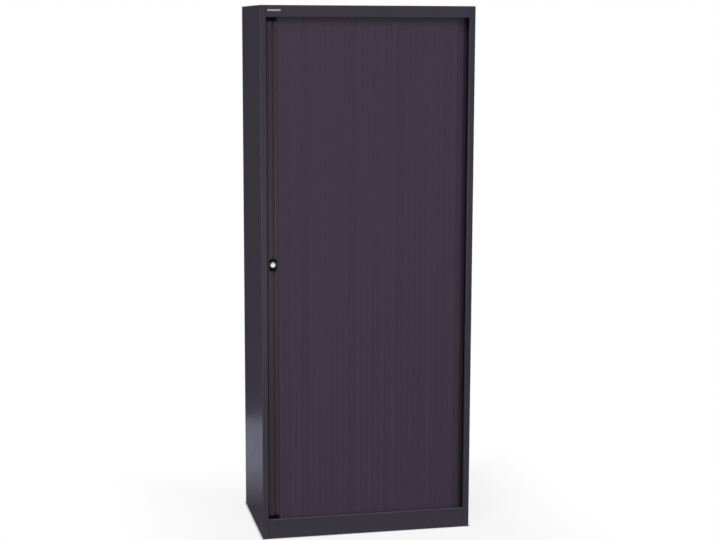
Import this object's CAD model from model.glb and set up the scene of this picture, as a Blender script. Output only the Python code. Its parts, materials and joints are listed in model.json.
import bmesh
import bpy
import json
import math
import numpy as np
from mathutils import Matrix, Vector


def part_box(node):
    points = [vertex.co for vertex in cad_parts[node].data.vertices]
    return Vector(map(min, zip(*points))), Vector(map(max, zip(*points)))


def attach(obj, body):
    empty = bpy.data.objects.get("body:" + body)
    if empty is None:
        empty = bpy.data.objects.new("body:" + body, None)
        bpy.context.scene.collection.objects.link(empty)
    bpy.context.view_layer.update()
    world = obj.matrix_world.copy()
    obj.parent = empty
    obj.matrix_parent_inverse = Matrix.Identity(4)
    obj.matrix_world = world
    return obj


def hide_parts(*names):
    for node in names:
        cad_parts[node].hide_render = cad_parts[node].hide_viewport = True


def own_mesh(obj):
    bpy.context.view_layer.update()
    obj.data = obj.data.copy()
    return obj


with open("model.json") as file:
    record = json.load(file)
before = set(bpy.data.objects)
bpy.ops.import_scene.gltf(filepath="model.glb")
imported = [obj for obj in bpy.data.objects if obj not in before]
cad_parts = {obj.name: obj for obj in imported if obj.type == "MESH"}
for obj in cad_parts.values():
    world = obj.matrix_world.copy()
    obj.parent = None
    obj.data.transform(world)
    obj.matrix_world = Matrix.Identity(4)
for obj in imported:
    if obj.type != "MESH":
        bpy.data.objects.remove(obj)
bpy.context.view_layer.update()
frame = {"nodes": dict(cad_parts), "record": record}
cadNodes = frame["nodes"]
slotOf = {part["node"]: part["material_slot"] for part in frame["record"]["subparts"]}
mm = 0.001  # sizes below are in millimetres, Blender works in metres
print("frame loaded:", len(cadNodes), "nodes")


def unit(vectors):
    # each vector divided by its length
    return vectors / np.linalg.norm(vectors, axis=-1, keepdims=True)


def arc(centre, radius, start, end, count):
    # points on a circle: centre + radius * (cos, sin), at even angles from start to end in degrees
    angle = np.radians(np.linspace(start, end, count))
    return np.array(centre) + radius * np.stack([np.cos(angle), np.sin(angle)], -1)


def surfacePiece(name, grids, finish, body, replaced, closedRows=False, sharpAngle=32):
    # grids[copy, row, column] are points in mm; quads join neighbouring points, the columns close
    # into rings, and the rows either close as well or end in flat caps
    copies, rows, columns = grids.shape[:3]
    index = np.arange(copies * rows * columns).reshape(copies, rows, columns)
    ring = np.concatenate([index, index[:, :, :1]], 2)
    if closedRows:
        ring = np.concatenate([ring, ring[:, :1]], 1)
    quads = np.stack([ring[:, :-1, :-1], ring[:, :-1, 1:], ring[:, 1:, 1:], ring[:, 1:, :-1]], -1)
    quads = quads.reshape(-1, 4)
    caps = [] if closedRows else np.concatenate([index[:, 0], index[:, -1, ::-1]]).tolist()
    mesh = bpy.data.meshes.new(name)
    mesh.from_pydata((grids.reshape(-1, 3) * mm).tolist(), [], quads.tolist() + caps)
    work = bmesh.new()
    work.from_mesh(mesh)
    bmesh.ops.remove_doubles(work, verts=work.verts, dist=1e-6)
    bmesh.ops.dissolve_degenerate(work, edges=work.edges, dist=1e-6)
    bmesh.ops.recalc_face_normals(work, faces=work.faces)
    work.to_mesh(mesh)
    work.free()
    mesh.shade_smooth()
    mesh.set_sharp_from_angle(angle=math.radians(sharpAngle))
    piece = bpy.data.objects.new(name, mesh)
    bpy.context.scene.collection.objects.link(piece)
    mesh.materials.append(finishes[finish])
    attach(piece, body)
    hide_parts(*replaced)
    return piece


def turned(profile, centres, axis, spokes):
    # a profile of (radius, height) carried round an axis:
    # centre + height * axis + radius * (cos * across + sin * up)
    axis = np.array(axis, float)
    across = unit(np.cross(axis, (0.3, 0.5, 0.8)))  # square to the axis, whichever way that points
    up = np.cross(axis, across)
    angle = np.linspace(0, 2 * math.pi, spokes, endpoint=False)
    spoke = np.cos(angle)[:, None] * across + np.sin(angle)[:, None] * up
    profile = np.array(profile, float)
    ringed = profile[:, 0, None, None] * spoke + profile[:, 1, None, None] * axis
    return np.array(centres, float)[:, None, None] + ringed


def linear(hexColour):
    # sRGB hex to the linear colour that shaders read
    values = np.array([int(hexColour[k:k + 2], 16) for k in (1, 3, 5)]) / 255
    values = np.where(values <= 0.04045, values / 12.92, ((values + 0.055) / 1.055) ** 2.4)
    return (*values.tolist(), 1.0)


def addNode(tree, kind, settings={}, links={}):
    # settings go to the node's own switches or, by name or number, to its inputs, and links feed
    # its inputs
    node = tree.nodes.new(kind)
    for key, value in settings.items():
        if isinstance(key, str) and hasattr(node, key):
            setattr(node, key, value)
        else:
            node.inputs[key].default_value = value
    for key, source in links.items():
        tree.links.new(source, node.inputs[key])
    return node


def startFinish(name, shader):
    # an empty material with its shader and the point in the cupboard's own frame, in metres
    material = bpy.data.materials.new(name)
    material.use_nodes = True
    tree = material.node_tree
    tree.nodes.clear()
    surface = addNode(tree, "ShaderNodeBsdfPrincipled", shader)
    addNode(tree, "ShaderNodeOutputMaterial", links={"Surface": surface.outputs[0]})
    place = addNode(tree, "ShaderNodeTexCoord").outputs["Object"]
    return material, tree, surface, place


def grain(tree, place, sizeMm, detail=2.0, stretch=(1, 1, 1)):
    # noise with features of that size, drawn out along an axis where stretch is below 1
    placed = addNode(tree, "ShaderNodeMapping", {"Scale": stretch}, {"Vector": place}).outputs[0]
    noise = {"Scale": 1 / (sizeMm * mm), "Detail": detail, "Roughness": 0.55}
    return addNode(tree, "ShaderNodeTexNoise", noise, {"Vector": placed}).outputs[0]


def between(tree, share, low, high, fromLow=0.3, fromHigh=0.7, shape="LINEAR"):
    # carries a noise value, which mostly lies between 0.3 and 0.7, or another range of values to a
    # range
    span = {"interpolation_type": shape, "From Min": fromLow, "From Max": fromHigh,
            "To Min": low, "To Max": high}
    return addNode(tree, "ShaderNodeMapRange", span, {"Value": share}).outputs[0]


def mixed(tree, share, first, second):
    # colour between two hex colours, or between a socket's colour and a hex colour
    settings, links = {"data_type": "RGBA", 7: linear(second)}, {0: share}
    if isinstance(first, str):
        settings[6] = linear(first)
    else:
        links[6] = first
    return addNode(tree, "ShaderNodeMix", settings, links).outputs[2]


def times(tree, first, second):
    # product of two values
    return addNode(tree, "ShaderNodeMath", {"operation": "MULTIPLY"},
                   {0: first, 1: second}).outputs[0]


def relief(tree, height, depthMm):
    # bump of that depth
    return addNode(tree, "ShaderNodeBump", {"Strength": 1.0, "Distance": depthMm * mm},
                   {"Height": height}).outputs[0]


outerCoat = {"colour": "#38343F", "thin": "#3A3641", "patchMm": 240, "specular": 0.3,
             "roughness": (0.29, 0.32), "satinMm": 60, "peelMm": 2.2, "peelDepthMm": 0.006,
             "dust": "#4B4853", "dustHeightMm": 60, "dustMost": 0.2, "speckleMm": 9,
             "speckleLeast": 0.2}
innerCoat = {**outerCoat, "colour": "#403B47", "thin": "#433E4A", "roughness": (0.4, 0.48),
             "dustHeightMm": 1}
barCoat = {**outerCoat, "colour": "#38303B", "thin": "#3A323D", "dustHeightMm": 1}


def powderCoatedSteel(name, coat):
    # polyester powder baked on thin steel sheet: a satin skin with a fine orange peel, a shade
    # lighter where it went on thin, and with a trace of dust just above the floor
    material, tree, surface, place = startFinish(name, {"Metallic": 0.0, "IOR": 1.5,
                                                        "Specular IOR Level": coat["specular"]})
    patches = grain(tree, place, coat["patchMm"], 3)
    colour = mixed(tree, between(tree, patches, 0, 1), coat["colour"], coat["thin"])
    height = addNode(tree, "ShaderNodeSeparateXYZ", links={0: place}).outputs[2]
    low = between(tree, height, coat["dustMost"], 0, 0, coat["dustHeightMm"] * mm)
    speckle = between(tree, grain(tree, place, coat["speckleMm"], 4), coat["speckleLeast"], 1)
    dusty = times(tree, low, speckle)
    tree.links.new(mixed(tree, dusty, colour, coat["dust"]), surface.inputs["Base Color"])
    satin = between(tree, grain(tree, place, coat["satinMm"], 2), *coat["roughness"])
    tree.links.new(satin, surface.inputs["Roughness"])
    peel = relief(tree, grain(tree, place, coat["peelMm"], 1), coat["peelDepthMm"])
    tree.links.new(peel, surface.inputs["Normal"])
    return material


slatExtrusion = {"colour": "#3B3241", "other": "#3D3443", "roughness": (0.42, 0.5), "specular": 0.25,
                 "drawMm": 1.4, "drawDepthMm": 0.008, "drawStretch": (1, 1, 0.004),
                 "pitchMm": 22.5, "firstMm": -340.6}
trackExtrusion = {**slatExtrusion, "colour": "#1C1B1F", "other": "#222126", "roughness": (0.38, 0.48)}


def extrudedPlastic(name, plastic):
    # rigid PVC drawn through a die: satin, with faint lines along its length, and lengths from
    # different runs that differ by a shade; the lines, really 0.1 to 0.3 mm wide, are drawn as coarse
    # as they need to show
    material, tree, surface, place = startFinish(name, {"Metallic": 0.0, "IOR": 1.52,
                                                        "Specular IOR Level": plastic["specular"]})
    across = addNode(tree, "ShaderNodeSeparateXYZ", links={0: place}).outputs[0]
    start, stop = plastic["firstMm"] * mm, (plastic["firstMm"] + plastic["pitchMm"]) * mm
    count = {"From Min": start, "From Max": stop, "To Min": 0.0, "To Max": 1.0, "clamp": False}
    strip = addNode(tree, "ShaderNodeMapRange", count, {"Value": across}).outputs[0]
    number = addNode(tree, "ShaderNodeMath", {"operation": "FLOOR"}, {0: strip}).outputs[0]
    shade = addNode(tree, "ShaderNodeTexWhiteNoise", {"noise_dimensions": "1D"},
                    {"W": number}).outputs[0]
    colour = mixed(tree, shade, plastic["colour"], plastic["other"])
    tree.links.new(colour, surface.inputs["Base Color"])
    lines = grain(tree, place, plastic["drawMm"], 2, plastic["drawStretch"])
    tree.links.new(between(tree, lines, *plastic["roughness"]), surface.inputs["Roughness"])
    tree.links.new(relief(tree, lines, plastic["drawDepthMm"]), surface.inputs["Normal"])
    return material


nylonParts = {"colour": "#060607", "worn": "#0B0B0D", "roughness": (0.42, 0.55), "specular": 0.08,
              "wearMm": 6, "dullMm": 3, "grainMm": 0.7, "depthMm": 0.02}
rubberParts = {**nylonParts, "colour": "#101010", "worn": "#1B1A1A", "roughness": (0.75, 0.88),
               "specular": 0.3, "grainMm": 0.9, "depthMm": 0.03}


def mouldedBlack(name, mould):
    # nylon or rubber from a spark-eroded mould: near black, dull, with a fine even grain, which is
    # really under 0.1 mm and is drawn as coarse as it needs to show
    material, tree, surface, place = startFinish(name, {"Metallic": 0.0, "IOR": 1.53,
                                                        "Specular IOR Level": mould["specular"]})
    wear = between(tree, grain(tree, place, mould["wearMm"], 3), 0, 1)
    tree.links.new(mixed(tree, wear, mould["colour"], mould["worn"]), surface.inputs["Base Color"])
    dull = between(tree, grain(tree, place, mould["dullMm"], 3), *mould["roughness"])
    tree.links.new(dull, surface.inputs["Roughness"])
    pitted = relief(tree, grain(tree, place, mould["grainMm"], 1), mould["depthMm"])
    tree.links.new(pitted, surface.inputs["Normal"])
    return material


nickelPlate = {"metallic": 0.72, "colour": "#DAD8D2", "dull": "#B9B6AF", "roughness": (0.09, 0.17),
               "cloudMm": 5, "scratchMm": 0.25, "scratchDepthMm": 0.003, "stretch": (0.08, 1, 1)}
zincPlate = {"metallic": 1.0, "colour": "#A6AAAF", "dull": "#8B9096", "roughness": (0.3, 0.46),
             "cloudMm": 3, "scratchMm": 0.5, "scratchDepthMm": 0.004, "stretch": (1, 1, 0.2)}
anodisedPlate = {"metallic": 0.6, "colour": "#D2D2D6", "dull": "#C0C0C5", "roughness": (0.34, 0.42),
                 "cloudMm": 20, "scratchMm": 0.3, "scratchDepthMm": 0.006, "stretch": (0.02, 1, 1)}


def brightMetal(name, metal):
    # nickel on a die casting, zinc on steel, or brushed and anodised aluminium: cloudy gloss and fine
    # marks, drawn coarser than real so that they show, with a milky and less metallic skin on the
    # nickel and on the anodised plate
    material, tree, surface, place = startFinish(name, {"Metallic": metal["metallic"]})
    clouds = between(tree, grain(tree, place, metal["cloudMm"], 4), 0, 1)
    colour = mixed(tree, clouds, metal["colour"], metal["dull"])
    tree.links.new(colour, surface.inputs["Base Color"])
    marks = grain(tree, place, metal["scratchMm"], 2, metal["stretch"])
    tree.links.new(between(tree, marks, *metal["roughness"]), surface.inputs["Roughness"])
    tree.links.new(relief(tree, marks, metal["scratchDepthMm"]), surface.inputs["Normal"])
    return material


finishes = {
    "powder_coat": powderCoatedSteel("charcoal powder coat on steel", outerCoat),
    "inner_coat": powderCoatedSteel("charcoal powder coat inside", innerCoat),
    "bar_coat": powderCoatedSteel("charcoal powder coat on the bar", barCoat),
    "slat_plastic": extrudedPlastic("charcoal extruded PVC", slatExtrusion),
    "track_plastic": extrudedPlastic("dark extruded PVC track", trackExtrusion),
    "black_plastic": mouldedBlack("black moulded nylon", nylonParts),
    "rubber": mouldedBlack("black rubber", rubberParts),
    "bright_nickel": brightMetal("bright nickel plate", nickelPlate),
    "zinc_plate": brightMetal("zinc plated steel", zincPlate),
    "blank_label": brightMetal("satin anodised aluminium", anodisedPlate),
}
for name, node in cadNodes.items():
    for materialSlot in node.material_slots:
        materialSlot.material = finishes[slotOf[name]]
print("finishes:", ", ".join(sorted(finishes)))


slats = {"pitch": 22.5, "thickness": 7.0, "shoulder": 2.95, "overhang": 2.7, "edge": 0.25,
         "innerEdge": 0.5, "crown": 0.25, "bead": 1.3, "socket": 1.6, "neck": 0.5,
         "mouth": (-25, 80),  # where the socket opens, in degrees from the way to the next slat
         "straight": 30, "round": 3,  # how many stand in the front and how many on its corner
         "firstHinge": -340.6, "trackY": -221.5, "cornerX": 336.0, "cornerRadius": 50.0,
         "barTravel": 665.0, "barGap": 0.1}


def slatProfile(s):
    # once round a slat's section, hinge line at 0, 0, outer face towards -y: the face rises to its
    # middle as a parabola, then come the socket at the far end, the inner face and the bead's neck
    half, left, right = s["thickness"] / 2, s["shoulder"], s["pitch"] + s["overhang"]
    across = np.linspace(left + s["edge"], right - s["edge"], 25)
    share = (across - left) / (right - left)
    sunk = s["crown"] * (2 * share - 1) ** 2
    face = np.stack([across, -half + sunk], -1)
    rim = -half + s["edge"] + sunk[0]
    low, high = (math.radians(a) for a in s["mouth"])
    lip = np.array([[right, (right - s["pitch"]) * math.tan(low)]])
    socket = arc((s["pitch"], 0), s["socket"], s["mouth"][0], s["mouth"][1] - 360, 15)
    inner = np.array([[s["pitch"] + half / math.tan(high), half]])
    lean = math.degrees(math.asin(s["neck"] / s["bead"]))
    bead = arc((0, 0), s["bead"], lean, 360 - lean, 13)
    inside = s["innerEdge"]
    return np.concatenate([
        arc((left + s["edge"], rim), s["edge"], 180, 270, 5)[:-1], face,
        arc((right - s["edge"], rim), s["edge"], 270, 360, 5)[1:], lip, socket, inner,
        arc((left + inside, half - inside), inside, 90, 180, 4),
        [[left, s["neck"]]], bead, [[left, -s["neck"]]]])


def hingeLines(s):
    # hinge lines one pitch apart along the track: evenly on the straight, then at even angles round
    # the corner, the first of them one pitch from the last straight one by the law of cosines
    straight = s["firstHinge"] + s["pitch"] * np.arange(s["straight"] + 1)
    radius, rest = s["cornerRadius"], s["cornerX"] - straight[-1]
    far = math.hypot(rest, radius)
    swing = math.acos((far ** 2 + radius ** 2 - s["pitch"] ** 2) / (2 * far * radius))
    step = 2 * math.asin(s["pitch"] / 2 / radius)
    angle = swing - math.atan2(rest, radius) + step * np.arange(s["round"])
    along = np.concatenate([straight, s["cornerX"] + radius * np.sin(angle)])
    inward = np.concatenate([np.zeros_like(straight), radius * (1 - np.cos(angle))])
    return np.stack([along, s["trackY"] + inward], -1)


def slatGrids(lines, s):
    # the section turned to each slat's heading, moved to its hinge line, and carried from foot to top
    heading = unit(np.diff(lines, axis=0))[:, None]
    inward = np.stack([-heading[..., 1], heading[..., 0]], -1)
    section = slatProfile(s)[None]
    plan = section[..., :1] * heading + section[..., 1:] * inward + lines[:-1, None]
    low, high = (corner.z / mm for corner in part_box("shutter_slats"))
    levels = np.linspace(low, high, 9)[None, :, None]
    x, y, z = np.broadcast_arrays(plan[:, None, :, 0], plan[:, None, :, 1], levels)
    return np.stack([x, y, z], -1)


lines = hingeLines(slats)
curtain = surfacePiece("shutterCurtain", slatGrids(lines[:slats["straight"] + 1], slats),
                       "slat_plastic", "cupboard", ["shutter_slats"])
surfacePiece("cornerSlats", slatGrids(lines[slats["straight"]:], slats),
             "slat_plastic", "cupboard", ["shutter_slats"])
# the slats leave round the corner as the bar opens, so the straight ones close up between the bar and
# the corner: from their first shoulder at rest, and in what the bar leaves free at its limit
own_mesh(curtain)
print("shutter:", slats["straight"] + slats["round"], "slats")


def middle(node):
    # middle of a CAD node's box, in mm
    return (np.array(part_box(node)[0]) + np.array(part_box(node)[1])) / 2 / mm


lock = {"axis": middle("lock_housing"), "barFace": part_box("closing_bar")[0].y / mm,
        "plateHalf": (14.5, 23.0), "plate": 2.0, "squareness": 4.2, "rim": 0.5, "fall": 2.6,
        "bodyHalf": (11.5, 20.0), "body": 9.0, "bodySquareness": 9, "chamfer": 0.6, "bore": 9.1,
        "flange": 11.0, "flangeDepth": 1.5, "flangeEdge": 0.25, "seatGap": 0.2, "dome": 0.7,
        "faceShort": 0.2, "barrel": 9.0, "barrelEnd": 15.0, "plugBore": 6.55, "spokes": 96}


def lockSurroundGrid(k):
    # rings of superellipses, x = a |cos|^(2/n), z = b |sin|^(2/n): out from the bore over a domed
    # face, back to the bar, in to the square-cornered body, back along it and through the bore again
    share = np.linspace(0, 1, 9)
    seat = k["flange"] + k["seatGap"]
    sag = (k["plate"] - k["rim"]) * (1 - np.sqrt(1 - share ** k["fall"]))
    dome = np.stack([seat + (k["plateHalf"][0] - seat) * share,
                     seat + (k["plateHalf"][1] - seat) * share,
                     2 + (k["squareness"] - 2) * share, -k["plate"] + sag], -1)
    bore, square, chamfer = k["bore"], k["bodySquareness"], k["chamfer"]
    halfX, halfZ = k["bodyHalf"]
    rows = np.concatenate([
        [[bore, bore, 2, -k["plate"]]], dome,
        [[*k["plateHalf"], k["squareness"], 0],
         [halfX, halfZ, square, 0],
         [halfX, halfZ, square, k["body"] - chamfer],
         [halfX - chamfer, halfZ - chamfer, square, k["body"]],
         [bore, bore, 2, k["body"]]]])
    angle = np.linspace(0, 2 * math.pi, k["spokes"], endpoint=False)
    cos, sin = np.cos(angle)[None], np.sin(angle)[None]
    a, b, n, y = (rows[:, c, None] for c in range(4))
    x = k["axis"][0] + a * np.sign(cos) * np.abs(cos) ** (2 / n)
    z = k["axis"][2] + b * np.sign(sin) * np.abs(sin) ** (2 / n)
    return np.stack([x, np.broadcast_to(k["barFace"] + y, x.shape), z], -1)[None]


def lockHousingProfile(k):
    # flange whose face falls to its rim as a parabola, barrel behind it, bored for the plug
    front, seat, bore = k["plate"] + k["flangeDepth"], k["plate"], k["plugBore"]
    radius = np.linspace(bore, k["flange"] - k["faceShort"], 12)
    face = np.stack([radius, front - k["dome"] * ((radius - bore) / (k["flange"] - bore)) ** 2], -1)
    edge = k["flangeEdge"]
    rim = arc((k["flange"] - edge, front - k["dome"] - edge), edge, 60, 0, 4)
    back = [(k["flange"], seat), (k["barrel"], seat),
            (k["barrel"], -k["barrelEnd"]), (bore, -k["barrelEnd"])]
    return np.concatenate([face, rim, back])


surfacePiece("lockSurround", lockSurroundGrid(lock), "black_plastic", "shutter_bar",
             ["lock_surround"], closedRows=True)
onBar = (lock["axis"][0], lock["barFace"], lock["axis"][2])
surfacePiece("lockHousing", turned(lockHousingProfile(lock), [onBar], (0, -1, 0), 72),
             "bright_nickel", "shutter_bar", ["lock_housing"], closedRows=True)
print("lock made")


backScrews = {"head": 3.35, "headDepth": 1.0, "dome": 0.3, "edge": 0.15, "shank": 2.0, "tail": 5.0,
              "point": 0.8, "tip": 0.5, "cross": 2.1, "blade": 0.38, "bladeEdge": 0.12, "deep": 0.85,
              "fall": 0.6, "middle": 0.12, "spokes": 48}
trackScrews = {**backScrews, "head": 2.95, "dome": 0.15, "shank": 1.5, "tail": 7.0, "cross": 1.9,
               "blade": 0.34, "deep": 0.8}


def crossHeadScrews(name, node, k, axis, heads):
    # turned screws whose top is sunk by a cross: its depth, deep * (1 - radius / cross) ^ fall, is
    # kept within two crossed blades
    edge, inner = k["edge"], k["cross"] + k["edge"]
    top = np.concatenate([np.linspace(k["middle"], inner, 12),
                          np.linspace(inner + edge, k["head"] - edge, 3)])
    lift = k["dome"] * (1 - (top / k["head"]) ** 2)
    neck, end = -k["headDepth"], -k["headDepth"] - k["tail"]
    side = np.array([(k["head"], -edge), (k["head"], neck), (k["shank"], neck),
                     (k["shank"], end + k["point"]), (k["tip"], end)])
    profile = np.concatenate([np.stack([top, lift - k["dome"]], -1), side])
    grids = turned(profile, heads, axis, k["spokes"])
    angle = np.linspace(0, 2 * math.pi, k["spokes"], endpoint=False)[None]
    radius = profile[:, :1]
    off = np.minimum(np.abs(radius * np.cos(angle)), np.abs(radius * np.sin(angle)))
    sunk = k["deep"] * np.clip(1 - radius / k["cross"], 0, 1) ** k["fall"]
    sunk = sunk * np.clip((k["blade"] - off) / k["bladeEdge"], 0, 1)
    sunk[len(top):] = 0
    grids = grids - sunk[None, :, :, None] * np.array(axis, float)
    surfacePiece(name, grids, slotOf[node], "cupboard", [node])


def islandCentres(node, axis):
    # middle of each loose solid of a CAD node, in mm, at its furthest point along an axis
    work = bmesh.new()
    work.from_mesh(cadNodes[node].data)
    bmesh.ops.remove_doubles(work, verts=work.verts, dist=1e-6)
    way = np.array(axis, float)
    left, found = set(work.verts), []
    while left:
        group, edge = set(), [left.pop()]
        while edge:
            vert = edge.pop()
            group.add(vert)
            fresh = {e.other_vert(vert) for e in vert.link_edges} & left
            left -= fresh
            edge += fresh
        points = np.array([v.co for v in group]) / mm
        centre = (points.min(0) + points.max(0)) / 2
        found.append(centre + way * ((points - centre) @ way).max())
    work.free()
    return sorted(found, key=lambda p: tuple(np.round(p, 3)))


outOfBack = (0, 1, 0)
crossHeadScrews("backScrewHeads", "back_screws", backScrews, outOfBack,
                islandCentres("back_screws", outOfBack))
for end, way in (("bottom", (0, 0, 1)), ("top", (0, 0, -1))):
    node = end + "_track_screws"
    crossHeadScrews(end + "TrackScrewHeads", node, trackScrews, way, islandCentres(node, way))
print("screws made")


floorPlugs = {"head": 11.0, "headDepth": 1.2, "fall": 0.5, "edge": 0.6, "rim": 0.3, "stem": 8.8,
              "stemDepth": 8.0, "wall": 1.2, "middle": 0.5, "spokes": 48}


def plugProfile(k):
    # head that falls from its middle as a parabola, with a hollow stem under it
    top = np.stack([np.linspace(k["middle"], k["head"] - k["edge"], 9),
                    k["headDepth"] - k["fall"] * np.linspace(0, 1, 9) ** 2], -1)
    inside = k["stem"] - k["wall"]
    return np.concatenate([top, [
        (k["head"], k["rim"]), (k["head"], 0), (k["stem"], 0), (k["stem"], -k["stemDepth"]),
        (inside, -k["stemDepth"]), (inside, -k["wall"]), (k["middle"], -k["wall"])]])


upwards = (0, 0, 1)
plugHeads = [c - (0, 0, floorPlugs["headDepth"]) for c in islandCentres("access_plugs", upwards)]
surfacePiece("floorPlugs", turned(plugProfile(floorPlugs), plugHeads, upwards, floorPlugs["spokes"]),
             "black_plastic", "cupboard", ["access_plugs"])


buffers = {"button": 5.0, "reach": 1.8, "rimShare": 0.4, "stem": 2.0, "stemReach": 4.0, "point": 0.4,
           "taper": 0.5, "spokes": 40}


def bufferProfile(k):
    # button, button * sin wide and reach * (rimShare + (1 - rimShare) * cos) high over a quarter
    # turn, on a short stem
    quarter = np.linspace(0.08, 1, 9) * math.pi / 2
    button = np.stack([k["button"] * np.sin(quarter),
                       k["reach"] * (k["rimShare"] + (1 - k["rimShare"]) * np.cos(quarter))], -1)
    return np.concatenate([button, [
        (k["button"], 0), (k["stem"], 0), (k["stem"], -k["stemReach"] + k["point"]),
        (k["stem"] - k["taper"], -k["stemReach"])]])


toTheRight = (1, 0, 0)
buttons = [c - (buffers["reach"], 0, 0) for c in islandCentres("closing_buffers", toTheRight)]
surfacePiece("stileBuffers", turned(bufferProfile(buffers), buttons, toTheRight, buffers["spokes"]),
             "rubber", "cupboard", ["closing_buffers"])


footPads = {"radius": 18.0, "base": 5.0, "edge": 1.5, "fillet": 2.5, "boss": 8.0, "bossHeight": 8.0,
            "bossEdge": 1.0, "hole": 4.1, "holeDepth": 9.0, "hollow": 0.8, "sole": 5.0, "tread": 4.0,
            "middle": 0.5, "spokes": 64}


def padProfile(k):
    # hollow sole, rounded rim, fillet up to the boss, and the hole that the stud's end sits in
    rim, top = k["radius"] - k["edge"], k["base"] + k["bossHeight"]
    return np.concatenate([
        [(k["middle"], k["hollow"]), (k["radius"] - k["sole"], k["hollow"])],
        [(k["radius"] - k["tread"], 0), (rim, 0)],
        arc((rim, k["edge"]), k["edge"], -80, 0, 5),
        arc((rim, k["base"] - k["edge"]), k["edge"], 0, 80, 5),
        arc((k["boss"] + k["fillet"], k["base"] + k["fillet"]), k["fillet"], 270, 180, 6),
        arc((k["boss"] - k["bossEdge"], top - k["bossEdge"]), k["bossEdge"], 0, 90, 4),
        [(k["hole"], top), (k["hole"], top - k["holeDepth"]), (k["middle"], top - k["holeDepth"])]])


for corner in ("front_left", "front_right", "rear_left", "rear_right"):
    node = "foot_pad_" + corner
    foot = middle(node)
    foot[2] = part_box(node)[0].z / mm
    pad = turned(padProfile(footPads), [foot], upwards, footPads["spokes"])
    surfacePiece("footPad_" + corner, pad, "black_plastic", "foot_" + corner, [node])
print("plugs, buffers and feet made")


# the studio and its lamps are in metres
studio = {"paper": "#A8A8A8", "paperHalf": 14.0, "footprint": (0.4, 0.235, 0.0),
          "footprintFade": 0.01, "glowNear": 0.85, "fadeTo": 0.6,
          "ambient": 0.17, "wall": 0.15, "curtain": 0.062,
          "curtainReach": (-0.6, 0.2), "curtainHeading": (0.3, 0.7), "ceiling": 0.5,
          "ceilingHeading": (0.15, 0.6), "room": "#EFE7FF", "daylight": "#E4E4FF",
          "strip": {"half": 1.4, "soft": 0.3, "front": (0.16, 0.8), "back": (1.56, 1.64),
                    "glow": 0.56}}
lamps = {
    "keySoftbox": {"spot": (-4.2, -8.0, 20.0), "aim": (0, 0, 1.0), "size": (8.0, 8.0), "watts": 4900},
    "leftSoftbox": {"spot": (-5.2, -2.4, 0.7), "aim": (0, 0, 0.6), "size": (2.2, 2.2), "watts": 130},
    "frontSoftbox": {"spot": (1.4, -6.6, 4.8), "aim": (0, 0, 1.0), "size": (2.4, 2.4), "watts": 36},
    "rightSoftbox": {"spot": (5.2, -1.4, 0.8), "aim": (0, 0, 0.9), "size": (2.2, 2.2), "watts": 60},
    "rearSoftbox": {"spot": (3.0, 6.4, 0.8), "aim": (0, 0, 0.9), "size": (6.0, 2.1), "watts": 170},
    "lockCatchlight": {"spot": (0.34, -4.7, 0.35), "aim": (-0.36, -0.23, 1.04), "size": (0.8, 0.8),
                       "watts": 4}}


def rays(tree):
    # which rays see the backdrop itself, straight or through glass, and which see it mirrored
    path = addNode(tree, "ShaderNodeLightPath").outputs
    seen = addNode(tree, "ShaderNodeMath", {"operation": "MAXIMUM"},
                   {0: path["Is Camera Ray"], 1: path["Is Transmission Ray"]}).outputs[0]
    return seen, path["Is Glossy Ray"]


def paperFinish():
    # matt white paper: pure white to the eye but for the cupboard's shadow; shiny paint mirrors the
    # strip of it that lies lit behind the cupboard
    material = bpy.data.materials.new("matt white paper")
    material.cycles.emission_sampling = "NONE"  # it answers the rays that reach it and isn't a lamp
    material.use_nodes = True
    tree = material.node_tree
    tree.nodes.clear()
    seen, mirrored = rays(tree)
    place = addNode(tree, "ShaderNodeTexCoord").outputs["Object"]
    aside = addNode(tree, "ShaderNodeVectorMath", {"operation": "ABSOLUTE"}, {0: place}).outputs[0]
    outside = addNode(tree, "ShaderNodeVectorMath", {"operation": "SUBTRACT", 1: studio["footprint"]},
                      {0: aside}).outputs[0]
    outX, outY, _ = addNode(tree, "ShaderNodeSeparateXYZ", links={0: outside}).outputs
    away = addNode(tree, "ShaderNodeMath", {"operation": "MAXIMUM"}, {0: outX, 1: outY}).outputs[0]
    clear = between(tree, away, 0, 1, 0, studio["footprintFade"])
    glow = between(tree, away, studio["glowNear"], 1, 0, studio["fadeTo"], "SMOOTHSTEP")
    white = times(tree, seen, times(tree, clear, glow))
    matt = addNode(tree, "ShaderNodeBsdfDiffuse", {"Color": linear(studio["paper"])}).outputs[0]
    bright = addNode(tree, "ShaderNodeEmission", {"Strength": 1.0}).outputs[0]
    plain = addNode(tree, "ShaderNodeMixShader", links={0: white, 1: matt, 2: bright}).outputs[0]
    strip = studio["strip"]
    y = addNode(tree, "ShaderNodeSeparateXYZ", links={0: place}).outputs[1]
    x = addNode(tree, "ShaderNodeSeparateXYZ", links={0: aside}).outputs[0]
    wide = between(tree, x, 1, 0, strip["half"] - strip["soft"], strip["half"] + strip["soft"])
    deep = times(tree, between(tree, y, 0, 1, *strip["front"]), between(tree, y, 1, 0, *strip["back"]))
    lit = times(tree, wide, deep)
    dim = between(tree, y, studio["wall"], studio["curtain"], *studio["curtainReach"])
    level = addNode(tree, "ShaderNodeMix", {"data_type": "FLOAT", 3: strip["glow"]},
                    {0: lit, 2: dim}).outputs[0]
    cool = mixed(tree, lit, studio["room"], studio["daylight"])
    shine = addNode(tree, "ShaderNodeEmission", links={"Color": cool, "Strength": level}).outputs[0]
    both = addNode(tree, "ShaderNodeMixShader", links={0: mirrored, 1: plain, 2: shine})
    addNode(tree, "ShaderNodeOutputMaterial", links={"Surface": both.outputs[0]})
    return material


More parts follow.
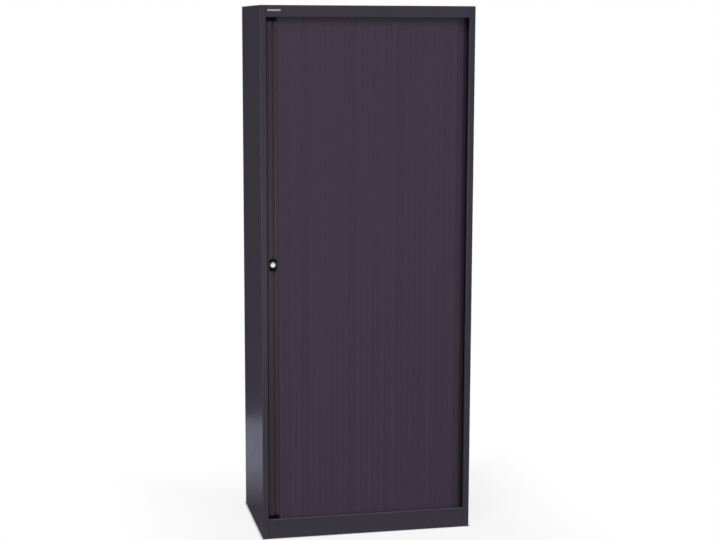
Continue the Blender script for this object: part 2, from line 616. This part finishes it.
half = studio["paperHalf"]
corners = [(-half, -half, 0), (half, -half, 0), (half, half, 0), (-half, half, 0)]
paper = bpy.data.meshes.new("paperFloor")
paper.from_pydata(corners, [], [(0, 1, 2, 3)])
paper.materials.append(paperFinish())
floor = bpy.data.objects.new("paperFloor", paper)
bpy.context.scene.collection.objects.link(floor)

# white to the eye; shiny paint sees grey walls, a dark curtain behind the cupboard and a lit ceiling
world = bpy.data.worlds.new("white studio")
world.cycles.sampling_method = "NONE"  # it answers rays, as the paper does
bpy.context.scene.world = world
world.use_nodes = True
tree = world.node_tree
tree.nodes.clear()
seen, mirrored = rays(tree)
heading = addNode(tree, "ShaderNodeTexCoord").outputs["Generated"]
_, backwards, up = addNode(tree, "ShaderNodeSeparateXYZ", links={0: heading}).outputs
walls = between(tree, backwards, studio["wall"], studio["curtain"], *studio["curtainHeading"])
overhead = between(tree, up, 0, 1, *studio["ceilingHeading"])
room = addNode(tree, "ShaderNodeMix", {"data_type": "FLOAT", 3: studio["ceiling"]},
               {0: overhead, 2: walls}).outputs[0]
lit = addNode(tree, "ShaderNodeMix", {"data_type": "FLOAT", 2: studio["ambient"]},
              {0: mirrored, 3: room}).outputs[0]
strength = addNode(tree, "ShaderNodeMix", {"data_type": "FLOAT", 3: 1.0}, {0: seen, 2: lit}).outputs[0]
hue = mixed(tree, mirrored, "#FFFFFF", studio["room"])
background = addNode(tree, "ShaderNodeBackground", links={"Color": hue, "Strength": strength})
addNode(tree, "ShaderNodeOutputWorld", links={"Surface": background.outputs[0]})

for name, k in lamps.items():
    light = bpy.data.lights.new(name, "AREA")
    light.shape, light.size, light.size_y = "RECTANGLE", *k["size"]
    light.energy = k["watts"]
    lamp = bpy.data.objects.new(name, light)
    lamp.location = k["spot"]
    lamp.rotation_euler = (Vector(k["aim"]) - Vector(k["spot"])).to_track_quat("-Z", "Y").to_euler()
    lamp.visible_camera = False
    bpy.context.scene.collection.objects.link(lamp)

view = {"spot": (-1.2305, -5.8109, 1.8926), "yaw": -0.21, "pitch": -0.153, "roll": -0.003,
        "focalPixels": 1556.8, "framePixels": 716}
camera = bpy.data.objects.new("camera", bpy.data.cameras.new("camera"))
camera.location = view["spot"]
camera.rotation_mode = "XYZ"
camera.rotation_euler = (math.pi / 2 + view["pitch"], view["roll"], view["yaw"])
camera.data.sensor_width = 36
camera.data.lens = view["focalPixels"] / view["framePixels"] * camera.data.sensor_width
camera.data.clip_end = 60
bpy.context.scene.collection.objects.link(camera)
bpy.context.scene.camera = camera
bpy.context.scene.view_settings.view_transform = "Standard"
print("studio set")
